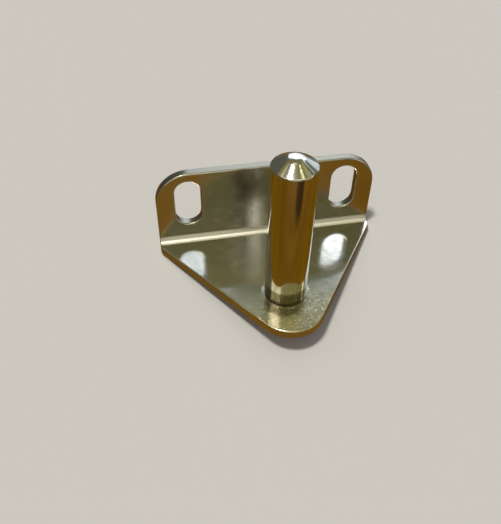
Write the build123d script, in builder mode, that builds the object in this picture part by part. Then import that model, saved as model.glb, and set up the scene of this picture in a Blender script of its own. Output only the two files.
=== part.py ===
"""Fixed pin bracket for a window stay.

A bent steel plate is screwed upright to a frame through two slots. A round pin stands on its
shelf and takes the eye of the stay's arm. One screw from below holds the pin.

Frame, in millimetres: the origin is the middle of the pin's foot, on the shelf's top face.
+Z runs up the pin, +Y towards the frame that the bracket is fixed to, and +X along the bend.
"""

import os

from build123d import *

os.makedirs("parts", exist_ok=True)

# ---------------------------------------------------------------- driving dimensions
# plate
sheet = 2.3  # thickness of the steel sheet
bracket_width = 56.0  # along the bend
flange_height = 22.6  # from the shelf's underside to the flange's top edge
bend_radius = 1.4  # inside the bend
corner_radius = 8.3  # the flange's two top corners
edge_round = 0.35  # rolled-over edges of the blank, all round
shoulder_drop = 2.4  # straight side of the shelf, from the flange's front face
shoulder_radius = 2.5  # where the straight side turns into the taper
nose_radius = 8.25
nose_reach = 35.8  # from the flange's front face to the tip of the nose

# fixing slots, upright, for M6 screws
slot_width = 6.6
slot_length = 13.0
slot_spacing = 40.0
slot_height = 13.75  # slot centres, above the shelf's underside

# pin
pin_diameter = 10.0
pin_height = 38.5  # above the shelf
pin_setback = 23.0  # from the flange's front face to the pin's axis
cone_height = 2.2
tip_diameter = 3.2  # the flat on the end
tip_round = 2.8
rim_round = 0.4
foot_chamfer = 0.3

# M6 button-head screw from below
thread_diameter = 5.9
tapped_diameter = 6.0
tapped_depth = 11.0
drill_cone = 1.7
screw_length = 12.0
screw_point = 0.8  # chamfer on the thread's end
screw_hole = 6.6  # in the plate
head_diameter = 10.5
head_height = 3.3
head_rim = 0.5  # straight edge of the head, under its dome
head_flat = 5.8  # across the flat end of the dome
head_bulge = 0.45  # the dome's rise above a straight cone
socket_flats = 4.0
socket_depth = 2.1

# ---------------------------------------------------------------- places worked out from them
flange_front = pin_setback
flange_back = flange_front + sheet
shelf_underside = -sheet
flange_top = shelf_underside + flange_height
nose_tip = flange_front - nose_reach
nose_centre = nose_tip + nose_radius
slot_level = shelf_underside + slot_height
head_end = shelf_underside - head_height

# ---------------------------------------------------------------- bracket plate
with BuildPart() as bracket_plate:
    # the bent section, shelf and flange in one
    with BuildSketch(Plane.YZ) as section:
        with BuildLine():
            Polyline(
                (nose_tip, shelf_underside),
                (flange_back, shelf_underside),
                (flange_back, flange_top),
                (flange_front, flange_top),
                (flange_front, 0),
                (nose_tip, 0),
                close=True,
            )
        make_face()
        inside_corner = section.vertices().sort_by_distance((flange_front, 0))[0]
        fillet(inside_corner, bend_radius)
        outside_corner = section.vertices().sort_by_distance((flange_back, shelf_underside))[0]
        fillet(outside_corner, bend_radius + sheet)
    extrude(amount=bracket_width / 2, both=True)

    # the flange's rounded top corners
    top_corners = bracket_plate.edges().filter_by(Axis.Y).group_by(Axis.Z)[-1]
    fillet(top_corners, corner_radius)

    # the blank's outline from above: a straight band at the bend, tapering to the nose
    with BuildSketch(Plane.XY.offset(shelf_underside)) as outline:
        with Locations((0, flange_back)):
            Rectangle(bracket_width, 2 * (sheet + shoulder_drop))
        with Locations((0, nose_centre)):
            Circle(nose_radius)
        make_hull()
        shoulders = outline.vertices().filter_by_position(
            Axis.Y, flange_front - shoulder_drop - 0.01, flange_front - shoulder_drop + 0.01
        )
        fillet(shoulders, shoulder_radius)
    extrude(amount=flange_height, mode=Mode.INTERSECT)

    # fixing slots
    with BuildSketch(Plane.XZ.offset(-flange_back)):
        with Locations((-slot_spacing / 2, slot_level), (slot_spacing / 2, slot_level)):
            SlotOverall(slot_length, slot_width, rotation=90)
    extrude(amount=sheet, mode=Mode.SUBTRACT)

    # the blanking press rolls every outline edge over a little
    sharp_edges = bracket_plate.edges().filter_by(lambda edge: not edge.is_interior)
    fillet(sharp_edges, edge_round)

    # hole for the pin's screw
    with Locations((0, 0, 0)):
        Hole(screw_hole / 2)

bracket_plate.part.label = "bracket_plate"
export_step(bracket_plate.part, "parts/bracket_plate.step")

# ---------------------------------------------------------------- pivot pin
with BuildPart() as pivot_pin:
    cone_foot = pin_height - cone_height
    with BuildSketch(Plane.XZ) as half_section:
        with BuildLine():
            Polyline(
                (tapped_diameter / 2, 0),
                (pin_diameter / 2 - foot_chamfer, 0),
                (pin_diameter / 2, foot_chamfer),
                (pin_diameter / 2, cone_foot),
                (tip_diameter / 2, pin_height),
                (0, pin_height),
                (0, tapped_depth + drill_cone),
                (tapped_diameter / 2, tapped_depth),
                close=True,
            )
        make_face()
        rim = half_section.vertices().sort_by_distance((pin_diameter / 2, cone_foot))[0]
        fillet(rim, rim_round)
        tip = half_section.vertices().sort_by_distance((tip_diameter / 2, pin_height))[0]
        fillet(tip, tip_round)
    revolve(axis=Axis.Z)

pivot_pin.part.label = "pivot_pin"
export_step(pivot_pin.part, "parts/pivot_pin.step")

# ---------------------------------------------------------------- screw under the shelf
with BuildPart() as pin_screw:
    with BuildSketch(Plane.XZ):
        with BuildLine():
            rim_edge = (head_diameter / 2, shelf_underside - head_rim)
            dome_edge = (head_flat / 2, head_end)
            Polyline(
                (0, head_end),
                (0, shelf_underside + screw_length),
                (thread_diameter / 2 - screw_point, shelf_underside + screw_length),
                (thread_diameter / 2, shelf_underside + screw_length - screw_point),
                (thread_diameter / 2, shelf_underside),
                (head_diameter / 2, shelf_underside),
                rim_edge,
            )
            SagittaArc(rim_edge, dome_edge, head_bulge)
            Line(dome_edge, (0, head_end))
        make_face()
    revolve(axis=Axis.Z)

    # hexagon socket for the key
    with BuildSketch(Plane.XY.offset(head_end)):
        RegularPolygon(socket_flats / 2, 6, major_radius=False)
    extrude(amount=socket_depth, mode=Mode.SUBTRACT)

pin_screw.part.label = "pin_screw"
export_step(pin_screw.part, "parts/pin_screw.step")
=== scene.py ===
import math

import bpy
from mathutils import Euler, Matrix, Vector

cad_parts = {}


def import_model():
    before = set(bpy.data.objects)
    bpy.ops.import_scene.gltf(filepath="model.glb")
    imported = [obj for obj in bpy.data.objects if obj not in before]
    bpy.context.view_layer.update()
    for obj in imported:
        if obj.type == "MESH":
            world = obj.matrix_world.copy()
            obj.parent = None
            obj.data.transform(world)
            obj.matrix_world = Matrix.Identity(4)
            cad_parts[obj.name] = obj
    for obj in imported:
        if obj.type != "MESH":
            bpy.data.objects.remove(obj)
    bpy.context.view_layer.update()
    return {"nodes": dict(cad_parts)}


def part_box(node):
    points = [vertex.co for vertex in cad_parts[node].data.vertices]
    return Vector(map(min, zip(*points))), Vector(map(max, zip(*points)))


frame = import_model()
nodes = frame["nodes"]

MM = 0.001

# ---------------------------------------------------------------- places taken from the frame
plate_low, plate_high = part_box("bracket_plate")
pin_low, pin_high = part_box("pivot_pin")
pin_radius = (pin_high.x - pin_low.x) / 2
cone_base_z = pin_high.z - 2.4 * MM
bend_radius = 1.4 * MM  # inside the bend
bend_centre_y = plate_high.y + plate_low.z - bend_radius
bend_centre_z = bend_radius

# ---------------------------------------------------------------- camera
camera_place = Vector((-28.98, -97.80, 107.14)) * MM
camera_turn = Euler((math.radians(46.1409), math.radians(-0.7585), math.radians(-10.9780)))
camera_lens = 42.17  # mm, on a 36 mm sensor

# ---------------------------------------------------------------- colours, linear
floor_pale = (0.80, 0.785, 0.75, 1)
backdrop = (0.604, 0.578, 0.515, 1)  # the floor as lit, so that no horizon shows
table_gold = (0.26, 0.135, 0.006, 1)
table_dark = (0.20, 0.095, 0.003, 1)
table_far_painted_sheen = (0.13, 0.15, 0.15, 1)  # painted sheen: the varnish's daylight glint at a grazing view, painted into the far table's colour
# painted shadow on the mirrored table
table_painted_shadow = (0.03, 0.014, 0.002, 1)
nickel = (0.74, 0.705, 0.63, 1)
nickel_dull = (0.66, 0.63, 0.54, 1)
nickel_yellow = (0.74, 0.68, 0.46, 1)
nickel_cut = (0.36, 0.34, 0.28, 1)
# painted shade for the pin's foot
nickel_painted_foot_shade = (0.17, 0.145, 0.075, 1)
zinc = (0.62, 0.62, 0.61, 1)
zinc_dull = (0.48, 0.48, 0.47, 1)
room_behind = (0.11, 0.11, 0.045, 1)
room_ahead = (0.14, 0.16, 0.125, 1)
room_left = (0.085, 0.09, 0.07, 1)
room_low = (0.10, 0.10, 0.09, 1)
wall_top_behind = (0.52, 0.52, 0.23, 1)
wall_top_ahead = (0.20, 0.19, 0.075, 1)
ceiling_edge = (0.22, 0.21, 0.13, 1)
ceiling = (0.80, 0.76, 0.56, 1)
daylight = (0.80, 0.89, 1.0, 1)
lamplight = (1.0, 0.96, 0.78, 1)
sunlight = (1.0, 0.99, 0.95, 1)
sunlight_on_sill = (1.0, 0.99, 0.90, 1)
lamp_gold = (1.0, 0.95, 0.50, 1)
lamp_warm = (1.0, 0.97, 0.70, 1)
ceiling_warm = (1.0, 0.98, 0.78, 1)
fill_white = (1.0, 0.98, 0.95, 1)


def direction(azimuth, elevation):
    """Unit vector; azimuth 0 is +Y and 90 is +X, elevation is above the horizon."""
    a, e = math.radians(azimuth), math.radians(elevation)
    return Vector((math.sin(a) * math.cos(e), math.cos(a) * math.cos(e), math.sin(e)))


# ---------------------------------------------------------------- node helpers
class Nodes:
    """Adds shader nodes to a tree and links them, in the order in which they are used."""

    def __init__(self, tree):
        self.tree = tree
        tree.nodes.clear()

    def add(self, kind, **settings):
        node = self.tree.nodes.new(kind)
        for key, value in settings.items():
            setattr(node, key, value)
        return node

    def link(self, out, socket):
        self.tree.links.new(out, socket)

    def put(self, value, socket):
        """Links an output to a socket, or sets a plain value on it."""
        if isinstance(value, bpy.types.NodeSocket):
            self.link(value, socket)
        else:
            socket.default_value = value

    def math(self, operation, a, b=0.0, clamp=False):
        node = self.add("ShaderNodeMath", operation=operation, use_clamp=clamp)
        self.put(a, node.inputs[0])
        self.put(b, node.inputs[1])
        return node.outputs[0]

    def add_some(self, value, mask, amount):
        """The value, raised by the amount where the mask is 1."""
        return self.math("ADD", value, self.math("MULTIPLY", mask, amount))

    def remap(self, value, from_low, from_high, to_low, to_high, smooth=False):
        kind = "SMOOTHSTEP" if smooth else "LINEAR"
        node = self.add("ShaderNodeMapRange", interpolation_type=kind)
        for socket, x in zip(node.inputs, (value, from_low, from_high, to_low, to_high)):
            self.put(x, socket)
        return node.outputs[0]

    def mix(self, factor, a, b):
        node = self.add("ShaderNodeMix", data_type="RGBA")
        self.put(factor, node.inputs["Factor"])
        self.put(a, node.inputs[6])
        self.put(b, node.inputs[7])
        return node.outputs[2]

    def axes(self, coordinates):
        """The x, y and z of a kind of texture coordinates."""
        node = self.add("ShaderNodeSeparateXYZ")
        self.link(self.add("ShaderNodeTexCoord").outputs[coordinates], node.inputs[0])
        return node.outputs

    def from_axis(self, x, y):
        """The distance from the pin's axis."""
        squares = self.math("ADD", self.math("POWER", x, 2.0), self.math("POWER", y, 2.0))
        return self.math("SQRT", squares)

    def place(self, scale=(1, 1, 1), turn=(0, 0, 0)):
        """Object coordinates, turned by angles in degrees and scaled."""
        coordinates = self.add("ShaderNodeTexCoord").outputs["Object"]
        node = self.add("ShaderNodeMapping")
        self.link(coordinates, node.inputs["Vector"])
        node.inputs["Rotation"].default_value = [math.radians(a) for a in turn]
        node.inputs["Scale"].default_value = scale
        return node.outputs[0]

    def noise(self, vector, scale=1.0, detail=2.0, roughness=0.5, distortion=0.0):
        node = self.add("ShaderNodeTexNoise")
        self.link(vector, node.inputs["Vector"])
        node.inputs["Scale"].default_value = scale
        node.inputs["Detail"].default_value = detail
        node.inputs["Roughness"].default_value = roughness
        node.inputs["Distortion"].default_value = distortion
        return node.outputs["Fac"]

    def bump(self, height, distance, strength=1.0, under=None):
        node = self.add("ShaderNodeBump")
        node.inputs["Distance"].default_value = distance
        node.inputs["Strength"].default_value = strength
        self.link(height, node.inputs["Height"])
        if under is not None:
            self.link(under, node.inputs["Normal"])
        return node.outputs[0]


def new_material(name):
    material = bpy.data.materials.new(name)
    material.use_nodes = True
    return material, Nodes(material.node_tree)


def finish_metal(n, colour, roughness, normal):
    shader = n.add("ShaderNodeBsdfPrincipled")
    shader.inputs["Metallic"].default_value = 1.0
    n.put(colour, shader.inputs["Base Color"])
    n.put(roughness, shader.inputs["Roughness"])
    n.put(normal, shader.inputs["Normal"])
    out = n.add("ShaderNodeOutputMaterial")
    n.link(shader.outputs[0], out.inputs["Surface"])


# ---------------------------------------------------------------- materials
def scratches(n, turn, gap, length, thin):
    """A mask of fine straight scratches: 1 in a scratch. gap and length are in metres."""
    lines = n.noise(n.place((1 / length, 1 / gap, 1 / gap), turn), detail=3, roughness=0.6)
    return n.remap(lines, thin, thin + 0.03, 0.0, 1.0)


def dots(n, gap, size, share):
    """Round dimples in a share of the cells, 1 at the middle and 0 outside. In metres."""
    cells = n.add("ShaderNodeTexVoronoi", voronoi_dimensions="2D", feature="F1")
    n.link(n.place(), cells.inputs["Vector"])
    cells.inputs["Scale"].default_value = 1 / gap
    chosen = n.add("ShaderNodeSeparateColor")
    n.link(cells.outputs["Color"], chosen.inputs[0])
    reach = n.remap(chosen.outputs[0], 0.0, share, size / gap, 0.0)
    return n.remap(cells.outputs["Distance"], 0.0, reach, 1.0, 0.0, smooth=True)


def plate_roughness(n, haze, nose, on_flange, in_bend, cut, hair, pits):
    roughness = n.remap(haze, 0.35, 0.70, 0.11, 0.18)
    for mask, amount in ((nose, 0.07), (on_flange, 0.04), (hair, 0.08), (pits, 0.12)):
        roughness = n.add_some(roughness, mask, amount)
    for mask, least in ((in_bend, 0.45), (cut, 0.30)):
        roughness = n.math("MAXIMUM", roughness, n.math("MULTIPLY", mask, least))
    return roughness


def plate_normal(n, x, y, z, nose, on_flange, on_shelf, cut, hair, pits):
    """Slow swells, grain, mottle, scratches, pits, a lip round the pin and sheared edges."""
    swell = n.noise(n.place(), 320, detail=2)
    grain = n.noise(n.place(), 2600, detail=3, roughness=0.6)
    mottle = n.noise(n.place(), 1100, detail=2)
    lip = n.remap(n.from_axis(x, y), pin_radius, pin_radius + 1 * MM, 1.0, 0.0, smooth=True)
    across = n.add("ShaderNodeCombineXYZ")
    n.link(x, across.inputs[0])
    n.link(n.math("MULTIPLY", y, on_shelf), across.inputs[1])
    n.link(n.math("MULTIPLY", z, on_flange), across.inputs[2])
    shear = n.noise(across.outputs[0], 4500, detail=2)

    normal = n.bump(swell, 0.014 * MM)
    grain = n.math("MULTIPLY", grain, n.remap(nose, 0.0, 1.0, 0.2, 1.0))
    normal = n.bump(grain, 0.003 * MM, under=normal)
    normal = n.bump(n.math("MULTIPLY", mottle, nose), 0.018 * MM, under=normal)
    normal = n.bump(hair, -0.002 * MM, under=normal)
    normal = n.bump(pits, -0.026 * MM, under=normal)
    normal = n.bump(lip, 0.040 * MM, under=normal)
    return n.bump(n.math("MULTIPLY", shear, cut), 0.012 * MM, under=normal)


def plate_material():
    """Bright nickel over rolled sheet: a mirror near the bend, duller and pitted at the nose."""
    material, n = new_material("plate_nickel")
    x, y, z = n.axes("Object")
    facing = n.axes("Normal")
    nose = n.remap(y, 5 * MM, -9 * MM, 0.0, 1.0, smooth=True)
    on_flange = n.math("GREATER_THAN", z, bend_centre_z)
    on_shelf = n.math("LESS_THAN", y, bend_centre_y)
    in_bend = n.math("SUBTRACT", 1.0, n.math("MAXIMUM", on_flange, on_shelf))
    flange_edge = n.math("LESS_THAN", n.math("ABSOLUTE", facing[1]), 0.6)
    shelf_edge = n.math("LESS_THAN", n.math("ABSOLUTE", facing[2]), 0.6)
    flange_cut = n.math("MULTIPLY", on_flange, flange_edge)
    cut = n.math("MAXIMUM", flange_cut, n.math("MULTIPLY", on_shelf, shelf_edge))

    haze = n.noise(n.place(), 420, detail=4, roughness=0.65)
    hair = n.math("MAXIMUM", scratches(n, (0, 0, 24), 0.12 * MM, 4.5 * MM, 0.67),
                  scratches(n, (0, 0, -52), 0.15 * MM, 3.5 * MM, 0.69))
    pits = n.math("MULTIPLY", dots(n, 0.8 * MM, 0.30 * MM, 0.55), nose)

    roughness = plate_roughness(n, haze, nose, on_flange, in_bend, cut, hair, pits)
    normal = plate_normal(n, x, y, z, nose, on_flange, on_shelf, cut, hair, pits)
    colour = n.mix(n.remap(haze, 0.3, 0.75, 0.0, 1.0), nickel, nickel_dull)
    colour = n.mix(n.math("MULTIPLY", nose, 0.8), colour, nickel_yellow)
    colour = n.mix(flange_cut, colour, nickel_cut)
    finish_metal(n, colour, roughness, normal)
    return material


def pin_material():
    """Nickel over a turned bar: rings on the cone, a faint drawn grain along the side, and
    painted shade at the foot.
    """
    material, n = new_material("pin_nickel")
    x, y, z = n.axes("Object")
    rings = n.add("ShaderNodeTexNoise", noise_dimensions="1D")
    n.put(n.math("MULTIPLY", n.from_axis(x, y), 9000.0), rings.inputs["W"])
    rings.inputs["Scale"].default_value = 1.0
    rings.inputs["Detail"].default_value = 2.0
    grain = n.noise(n.place((2500, 2500, 60)), 1.0, detail=3)
    haze = n.noise(n.place(), 300, detail=4, roughness=0.6)
    on_cone = n.math("GREATER_THAN", z, cone_base_z)
    # painted shade: the pin darker towards its foot on the plate
    painted_foot_shade = n.remap(z, 4.6 * MM, 3.2 * MM, 0.0, 0.9, smooth=True)

    roughness = n.remap(haze, 0.35, 0.70, 0.06, 0.12)
    roughness = n.math("ADD", roughness, n.remap(grain, 0.5, 0.8, 0.0, 0.06), clamp=True)
    roughness = n.add_some(roughness, on_cone, 0.03)
    normal = n.bump(grain, 0.0015 * MM)
    normal = n.bump(rings.outputs["Fac"], 0.006 * MM, under=normal)
    colour = n.mix(n.remap(haze, 0.3, 0.75, 0.0, 1.0), nickel, nickel_dull)
    colour = n.mix(painted_foot_shade, colour, nickel_painted_foot_shade)
    finish_metal(n, colour, roughness, normal)
    return material


def screw_material():
    """Dull zinc on a forged button head."""
    material, n = new_material("screw_zinc")
    haze = n.noise(n.place(), 700, detail=4, roughness=0.6)
    grit = n.noise(n.place(), 4200, detail=2)
    roughness = n.remap(haze, 0.3, 0.7, 0.24, 0.42)
    normal = n.bump(grit, 0.006 * MM)
    colour = n.mix(n.remap(haze, 0.3, 0.7, 0.0, 1.0), zinc, zinc_dull)
    finish_metal(n, colour, roughness, normal)
    return material


def dress(node, material):
    for slot in nodes[node].material_slots:
        slot.material = material


dress("bracket_plate", plate_material())
dress("pivot_pin", pin_material())
dress("pin_screw", screw_material())


# ---------------------------------------------------------------- how the bracket lies
def lowest(node, up):
    return min(up.dot(vertex.co) for vertex in nodes[node].data.vertices)


def table_up(tilt):
    """The table's upward direction, where it falls away towards the nose by tilt."""
    return Vector((0, -math.sin(tilt), math.cos(tilt)))


def resting_tilt():
    """The tilt at which the table touches both the bend and the screw's head."""
    low, high = 0.0, math.radians(30)
    for _ in range(30):
        middle = (low + high) / 2
        up = table_up(middle)
        if lowest("bracket_plate", up) > lowest("pin_screw", up):
            low = middle
        else:
            high = middle
    return low


tilt = resting_tilt()
up = table_up(tilt)
floor_level = lowest("pin_screw", up)
floor_size = 3.0


# ---------------------------------------------------------------- floor
def add_card(name, centre, size_x, size_y, rotation, material):
    """A flat rectangle that belongs to the studio."""
    x, y = size_x / 2, size_y / 2
    mesh = bpy.data.meshes.new(name)
    mesh.from_pydata([(-x, -y, 0), (x, -y, 0), (x, y, 0), (-x, y, 0)], [], [(0, 1, 2, 3)])
    mesh.materials.append(material)
    card = bpy.data.objects.new(name, mesh)
    card.matrix_world = Matrix.Translation(centre) @ rotation.to_matrix().to_4x4()
    bpy.context.scene.collection.objects.link(card)
    return card


painted_shadow_place = Vector((19, -72, 0)) * MM  # a painted shadow: a dark spot on the mirrored table


def distance_from(n, point):
    node = n.add("ShaderNodeVectorMath", operation="DISTANCE")
    n.link(n.place(), node.inputs[0])
    node.inputs[1].default_value = point
    return node.outputs["Value"]


def floor_material():
    """Pale to the eye. What the plating mirrors is a varnished brown table, with a painted sheen
    far off and a painted shadow in front.
    """
    material, n = new_material("floor_pale")
    grain = n.noise(n.place((12, 50, 50), (0, 0, 8)), 1.0, detail=3, roughness=0.5)
    wood = n.mix(n.remap(grain, 0.35, 0.65, 0.0, 1.0), table_dark, table_gold)
    # painted sheen: the far table turns grey where the varnish would glint with daylight
    painted_sheen_far = n.remap(distance_from(n, (0, 0, 0)), 100 * MM, 180 * MM, 0.0, 1.0, smooth=True)
    wood = n.mix(painted_sheen_far, wood, table_far_painted_sheen)
    # painted shadow: a dark spot on the table in front of the nose
    painted_shadow_mask = n.remap(distance_from(n, painted_shadow_place), 12 * MM, 28 * MM, 0.9, 0.0, smooth=True)
    wood = n.mix(painted_shadow_mask, wood, table_painted_shadow)
    mirrored = n.add("ShaderNodeBsdfPrincipled")
    n.link(wood, mirrored.inputs["Base Color"])
    mirrored.inputs["Roughness"].default_value = 0.25
    mirrored.inputs["Specular IOR Level"].default_value = 0.03
    seen = n.add("ShaderNodeBsdfDiffuse")
    seen.inputs["Color"].default_value = floor_pale
    both = n.add("ShaderNodeMixShader")
    n.link(n.add("ShaderNodeLightPath").outputs["Is Glossy Ray"], both.inputs[0])
    n.link(seen.outputs[0], both.inputs[1])
    n.link(mirrored.outputs[0], both.inputs[2])
    out = n.add("ShaderNodeOutputMaterial")
    n.link(both.outputs[0], out.inputs["Surface"])
    return material


add_card("floor", up * floor_level, floor_size, floor_size, up.to_track_quat("Z", "Y"),
         floor_material())


# ---------------------------------------------------------------- what the plating mirrors
def background(n, colour, strength):
    node = n.add("ShaderNodeBackground")
    n.put(colour, node.inputs["Color"])
    node.inputs["Strength"].default_value = strength
    return node.outputs[0]


def choose(n, factor, a, b):
    node = n.add("ShaderNodeMixShader")
    for value, socket in zip((factor, a, b), node.inputs):
        n.link(value, socket)
    return node.outputs[0]


def world():
    """Pale to the eye, a soft white fill for the floor, and a dim olive room in the plating."""
    scene_world = bpy.data.worlds.new("studio")
    scene_world.use_nodes = True
    bpy.context.scene.world = scene_world
    n = Nodes(scene_world.node_tree)
    x, y, z = n.axes("Generated")
    ahead = n.remap(y, -0.4, 0.6, 0.0, 1.0, smooth=True)
    room = n.mix(ahead, room_behind, room_ahead)
    room = n.mix(n.remap(x, -0.2, -0.7, 0.0, 0.8, smooth=True), room, room_left)
    room = n.mix(n.remap(z, 0.55, 0.25, 0.0, 0.7, smooth=True), room, room_low)
    wall_top = n.mix(ahead, wall_top_behind, wall_top_ahead)
    for low, high, colour in ((0.735, 0.755, wall_top), (0.80, 0.87, ceiling_edge),
                              (0.98, 0.995, ceiling)):
        room = n.mix(n.remap(z, low, high, 0.0, 1.0, smooth=True), room, colour)
    path = n.add("ShaderNodeLightPath")
    surface = choose(n, path.outputs["Is Glossy Ray"], background(n, fill_white, 0.25),
                     background(n, room, 1.0))
    surface = choose(n, path.outputs["Is Camera Ray"], surface, background(n, backdrop, 1.0))
    out = n.add("ShaderNodeOutputWorld")
    n.link(surface, out.inputs["Surface"])


card_distance = 0.9


def glow_material(name, colour, strength, fade):
    """An even glow. fade is the share of the card's half width over which its sides die away."""
    material, n = new_material(name)
    shader = n.add("ShaderNodeEmission")
    shader.inputs["Color"].default_value = colour
    if fade:
        off_middle = n.math("ABSOLUTE", n.math("SUBTRACT", n.axes("Generated")[0], 0.5))
        n.put(n.remap(off_middle, 0.5 - fade / 2, 0.5, strength, 0.0, smooth=True),
              shader.inputs["Strength"])
    else:
        shader.inputs["Strength"].default_value = strength
    out = n.add("ShaderNodeOutputMaterial")
    n.link(shader.outputs[0], out.inputs["Surface"])
    return material


def mirror_card(name, azimuth, elevation, wide, tall, colour, strength, fade=0):
    """A glowing card that only the plating's mirror sees. wide and tall are in degrees."""
    towards = direction(azimuth, elevation)
    width = 2 * card_distance * math.tan(math.radians(wide / 2))
    height = 2 * card_distance * math.tan(math.radians(tall / 2))
    card = add_card(name, towards * card_distance, width, height,
                    towards.to_track_quat("Z", "Y"), glow_material(name, colour, strength, fade))
    card.visible_camera = False
    card.visible_diffuse = False
    card.visible_shadow = False
    card.visible_transmission = False


def key_light():
    """The soft lamp, high on the left."""
    lamp = bpy.data.lights.new("key", "SUN")
    lamp.energy = 1.65
    lamp.angle = math.radians(8)
    lamp.color = (1.0, 0.97, 0.90)
    lamp_object = bpy.data.objects.new("key", lamp)
    lamp_object.rotation_euler = direction(-122, 73).to_track_quat("Z", "Y").to_euler()
    bpy.context.scene.collection.objects.link(lamp_object)


world()
mirror_card("window_sky", 27, 34.9, 46, 15.9, daylight, 2.2)
mirror_card("window_yard", 27, 12.5, 46, 28, daylight, 1.2)
mirror_card("window_far_right", 60, 14, 14, 26, daylight, 1.0)
mirror_card("window_side", 59, 43, 24, 6, daylight, 1.6)
mirror_card("window_middle", 1, 44, 9, 5, daylight, 1.4)
mirror_card("window_left", -122, 60, 30, 14, sunlight, 0.75)
mirror_card("window_left_sill", -108, 51, 34, 3.6, sunlight_on_sill, 4.8)
mirror_card("lamp_right", 120, 67, 3.5, 7, lamp_gold, 3.0)
mirror_card("lamp_far_right", 94, 42, 5, 9, lamplight, 3.5)
mirror_card("lamp_left", -76, 60, 5, 4, lamp_warm, 1.6)
mirror_card("ceiling_behind", -178, 65, 50, 10, ceiling_warm, 1.8)
mirror_card("lamps_behind", -170, 12, 84, 28, lamplight, 0.9, fade=0.6)
mirror_card("lamps_behind_right", 132, 12, 60, 28, lamplight, 0.8, fade=0.7)
key_light()

bpy.context.scene.view_settings.view_transform = "Standard"


# ---------------------------------------------------------------- camera
def add_camera():
    data = bpy.data.cameras.new("camera")
    data.sensor_width = 36
    data.lens = camera_lens
    data.clip_start = 0.005
    data.clip_end = 10
    camera = bpy.data.objects.new("camera", data)
    camera.location = camera_place
    camera.rotation_euler = camera_turn
    bpy.context.scene.collection.objects.link(camera)
    bpy.context.scene.camera = camera


add_camera()
